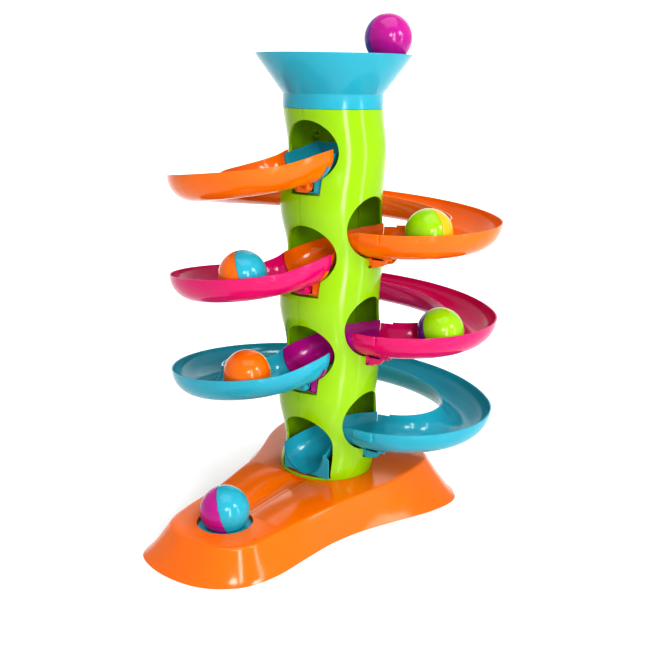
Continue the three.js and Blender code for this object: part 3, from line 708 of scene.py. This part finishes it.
def base_cutter():
    """The ball track."""
    axis_z = [top_height(y) - TRACK_DEPTH + TRACK_RADIUS for y in (-52, SOCKET_Y)]
    cutter = Shape()
    cylinder(cutter, TRACK_RADIUS, (TRACK_X, -52, axis_z[0]), (TRACK_X, SOCKET_Y, axis_z[1]), 256)
    return cutter


def socket_cutter():
    cutter = Shape()
    cylinder(cutter, SOCKET_RADIUS, (TRACK_X, SOCKET_Y, SOCKET_FLOOR), (TRACK_X, SOCKET_Y, 60))
    return cutter


base = piece("base_shell", base_shell(), "orange", "frame", "base", base_cutter())
cut(base, socket_cutter())


def catch_cup():
    outer, bottom = SOCKET_RADIUS - 0.6, SOCKET_FLOOR + 0.3
    ball_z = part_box("base_ball_first_half")[0].z / MM + BALL_RADIUS
    hollow, edge = 25.6, 0.9
    bowl = [(hollow * math.sin(a), ball_z - hollow * math.cos(a)) for a in np.linspace(0.9, 0.02, 12)]
    rim = [(outer - edge + edge * math.cos(a), CUP_RIM - edge + edge * math.sin(a))
           for a in np.linspace(0, 1.57, 6)]
    return Shape().turned([(0.5, bottom), (outer, bottom), *rim, (outer - 3, CUP_RIM), *bowl],
                          (TRACK_X, SOCKET_Y), 128)


piece("catch_cup_body", catch_cup(), "sky", "frame", "catch_cup")


# ---- balls -------------------------------------------------------------------------------------
def half_ball():
    """Half a ball, with a softened edge at the seam, facing +Z, around the origin."""
    edge = 0.35
    profile = [(0.01, SEAM), (BALL_RADIUS - 2, SEAM), (BALL_RADIUS - edge, SEAM)]
    start = math.asin((SEAM + edge) / BALL_RADIUS)
    for angle in np.linspace(start, math.pi / 2 - 0.002, 40):
        profile.append((BALL_RADIUS * math.cos(angle), BALL_RADIUS * math.sin(angle)))
    return Shape().turned(profile, segments=96)


# Where the first half of each ball faces, its two colours, and the two slots of the CAD halves.
BALLS = {
    "funnel_ball": ((-0.941, 0.329, -0.077), ("purple", "magenta"), ("purple", "pink")),
    "orange_ramp_ball": ((-0.425, -0.905, -0.033), ("lime", "yellow"), ("lime", "yellow")),
    "pink_ramp_start_ball": ((-0.805, -0.510, -0.302), ("orange", "sky"), ("orange", "sky")),
    "pink_ramp_end_ball": ((-0.881, 0.211, -0.423), ("purple", "lime"), ("purple", "lime")),
    "blue_ramp_ball": ((0.395, -0.885, 0.246), ("orange", "yellow"), ("orange", "yellow")),
    "base_ball": ((-0.799, -0.520, -0.303), ("magenta", "sky"), ("pink", "sky")),
}


def ball_centre(name):
    """Where the two halves of a CAD ball meet: the middle of the box around both."""
    corners = [c for half in ("first", "second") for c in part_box(f"{name}_{half}_half")]
    low = [min(c[i] for c in corners) for i in range(3)]
    high = [max(c[i] for c in corners) for i in range(3)]
    return Vector([(a + b) / 2 / MM for a, b in zip(low, high)])


def place_balls():
    half = half_ball()
    for name, (facing, colours, slots) in BALLS.items():
        centre = ball_centre(name)
        for sign, which, colour, slot in zip((1, -1), ("first", "second"), colours, slots):
            turn = (Vector(facing).normalized() * sign).to_track_quat("Z", "Y")
            shape = Shape().add([tuple(centre + turn @ Vector(p)) for p in half.points], half.faces)
            piece(f"{name}_{which}_shell", shape, colour, name, f"{name}_{which}_half")


place_balls()

# ---- studio ------------------------------------------------------------------------------------
VIEW_TURN = math.radians(36)         # the camera stands this far round from -Y towards +X
VIEW_PITCH, VIEW_ROLL = math.radians(14.82), math.radians(0.98)
VIEW_BACK, VIEW_ASIDE, VIEW_HEIGHT = 0.9853, -0.0069, 0.4658
LENS = 51.9
TARGET = Vector((0, 0, 0.25))


def turned_point(x, y, z):
    return Matrix.Rotation(VIEW_TURN, 3, "Z") @ Vector((x, y, z))


def camera():
    sp, cp, sr, cr = (f(a) for a in (VIEW_PITCH, VIEW_ROLL) for f in (math.sin, math.cos))
    right = turned_point(cr, sr * sp, sr * cp)
    up = -turned_point(sr, -cr * sp, -cr * cp)
    back = -turned_point(0, cp, -sp)
    data = bpy.data.cameras.new("camera")
    data.lens = LENS
    data.sensor_width = 36
    made = bpy.data.objects.new("camera", data)
    rotation = Matrix((right, up, back)).transposed()
    place = turned_point(VIEW_ASIDE, -VIEW_BACK, VIEW_HEIGHT)
    made.matrix_world = Matrix.Translation(place) @ rotation.to_4x4()
    bpy.context.scene.collection.objects.link(made)
    bpy.context.scene.camera = made


def softbox(name, azimuth, elevation, distance, size, watts, shape):
    """A light at an angle to the right of the camera and above the horizon, aimed at the toy."""
    a, e = math.radians(azimuth), math.radians(elevation)
    direction = turned_point(math.sin(a) * math.cos(e), -math.cos(a) * math.cos(e), math.sin(e))
    data = bpy.data.lights.new(name, "AREA")
    data.shape = shape
    data.size, data.size_y = size
    data.energy = watts
    made = bpy.data.objects.new(name, data)
    made.location = TARGET + direction * distance
    made.rotation_mode = "QUATERNION"
    made.rotation_quaternion = direction.to_track_quat("Z", "Y")
    bpy.context.scene.collection.objects.link(made)


GLOW_CENTRE = turned_point(0, 3.8, 0)     # the brightest part of the floor and wall's painted glow, behind the toy
GLOW_NEAR, GLOW_FAR = (2.9, 0.56), (3.9, 0.15)      # distance from there, and glow
FLOOR_FLAT, FLOOR_BEND, WALL_TOP, FLOOR_STEPS = 4.0, 1.5, 6.0, 96


def floor():
    """A pale studio floor that sweeps up into a round wall, with a painted glow of light that is
    brightest behind the toy.
    """
    profile = [(0.0, 0.0), (FLOOR_FLAT, 0.0)]
    for a in np.linspace(0, math.pi / 2, 16)[1:]:
        profile.append((FLOOR_FLAT + FLOOR_BEND * math.sin(a), FLOOR_BEND - FLOOR_BEND * math.cos(a)))
    profile += [(FLOOR_FLAT + FLOOR_BEND, WALL_TOP)]
    segments = FLOOR_STEPS
    points = [(0.0, 0.0, 0.0)]
    for r, z in profile[1:]:
        points += [(r * math.cos(math.tau * k / segments), r * math.sin(math.tau * k / segments), z)
                   for k in range(segments)]
    faces = [(0, 1 + k, 1 + (k + 1) % segments) for k in range(segments)]
    for ring in range(len(profile) - 2):
        low, high = 1 + ring * segments, 1 + (ring + 1) * segments
        for k in range(segments):
            after = (k + 1) % segments
            faces.append((low + k, high + k, high + after, low + after))
    mesh = bpy.data.meshes.new("floor")
    mesh.from_pydata(points, [], faces)
    mesh.shade_smooth()
    made = bpy.data.objects.new("floor", mesh)
    made.location.z = -0.0003
    bpy.context.scene.collection.objects.link(made)
    material = bpy.data.materials.new("floor")
    material.use_nodes = True
    tree = material.node_tree
    shader = tree.nodes["Principled BSDF"]
    shader.inputs["Base Color"].default_value = (0.78, 0.78, 0.78, 1)
    shader.inputs["Emission Color"].default_value = (1, 1, 1, 1)
    shader.inputs["Roughness"].default_value = 0.12
    shader.inputs["Specular IOR Level"].default_value = 0.5
    # Painted light: the floor and wall glow, brightest near GLOW_CENTRE and fading with distance from
    # it.
    place = tree.nodes.new("ShaderNodeTexCoord")
    distance = tree.nodes.new("ShaderNodeVectorMath")
    distance.operation = "DISTANCE"
    distance.inputs[1].default_value = GLOW_CENTRE
    glow = tree.nodes.new("ShaderNodeMapRange")
    glow.inputs["From Min"].default_value, glow.inputs["To Min"].default_value = GLOW_NEAR
    glow.inputs["From Max"].default_value, glow.inputs["To Max"].default_value = GLOW_FAR
    tree.links.new(place.outputs["Object"], distance.inputs[0])
    tree.links.new(distance.outputs["Value"], glow.inputs["Value"])
    tree.links.new(glow.outputs["Result"], shader.inputs["Emission Strength"])
    mesh.materials.append(material)


def world():
    made = bpy.data.worlds.new("studio")
    made.use_nodes = True
    background = made.node_tree.nodes["Background"]
    background.inputs["Color"].default_value = (1, 1, 1, 1)
    background.inputs["Strength"].default_value = 0.5
    bpy.context.scene.world = made


camera()
floor()
world()
# Name, azimuth, elevation, distance, size, watts and shape.
LIGHTS = [
    ("left_spot", 11, 20, 1.9, (0.42, 0.42), 8.5, "DISK"),
    ("right_spot", 58, 27, 1.9, (0.42, 0.42), 8.5, "DISK"),
    ("left_strip", 26, 6, 2.2, (0.3, 1.6), 20, "RECTANGLE"),
    ("right_strip", 67, 6, 2.2, (0.22, 1.6), 8, "RECTANGLE"),
    ("top", 20, 78, 2.2, (2.0, 2.0), 24, "RECTANGLE"),
    ("back", 160, 35, 2.6, (1.8, 1.8), 5, "RECTANGLE"),
]
for light in LIGHTS:
    softbox(*light)
bpy.context.scene.view_settings.view_transform = "Standard"
bpy.context.scene.view_settings.look = "Medium High Contrast"
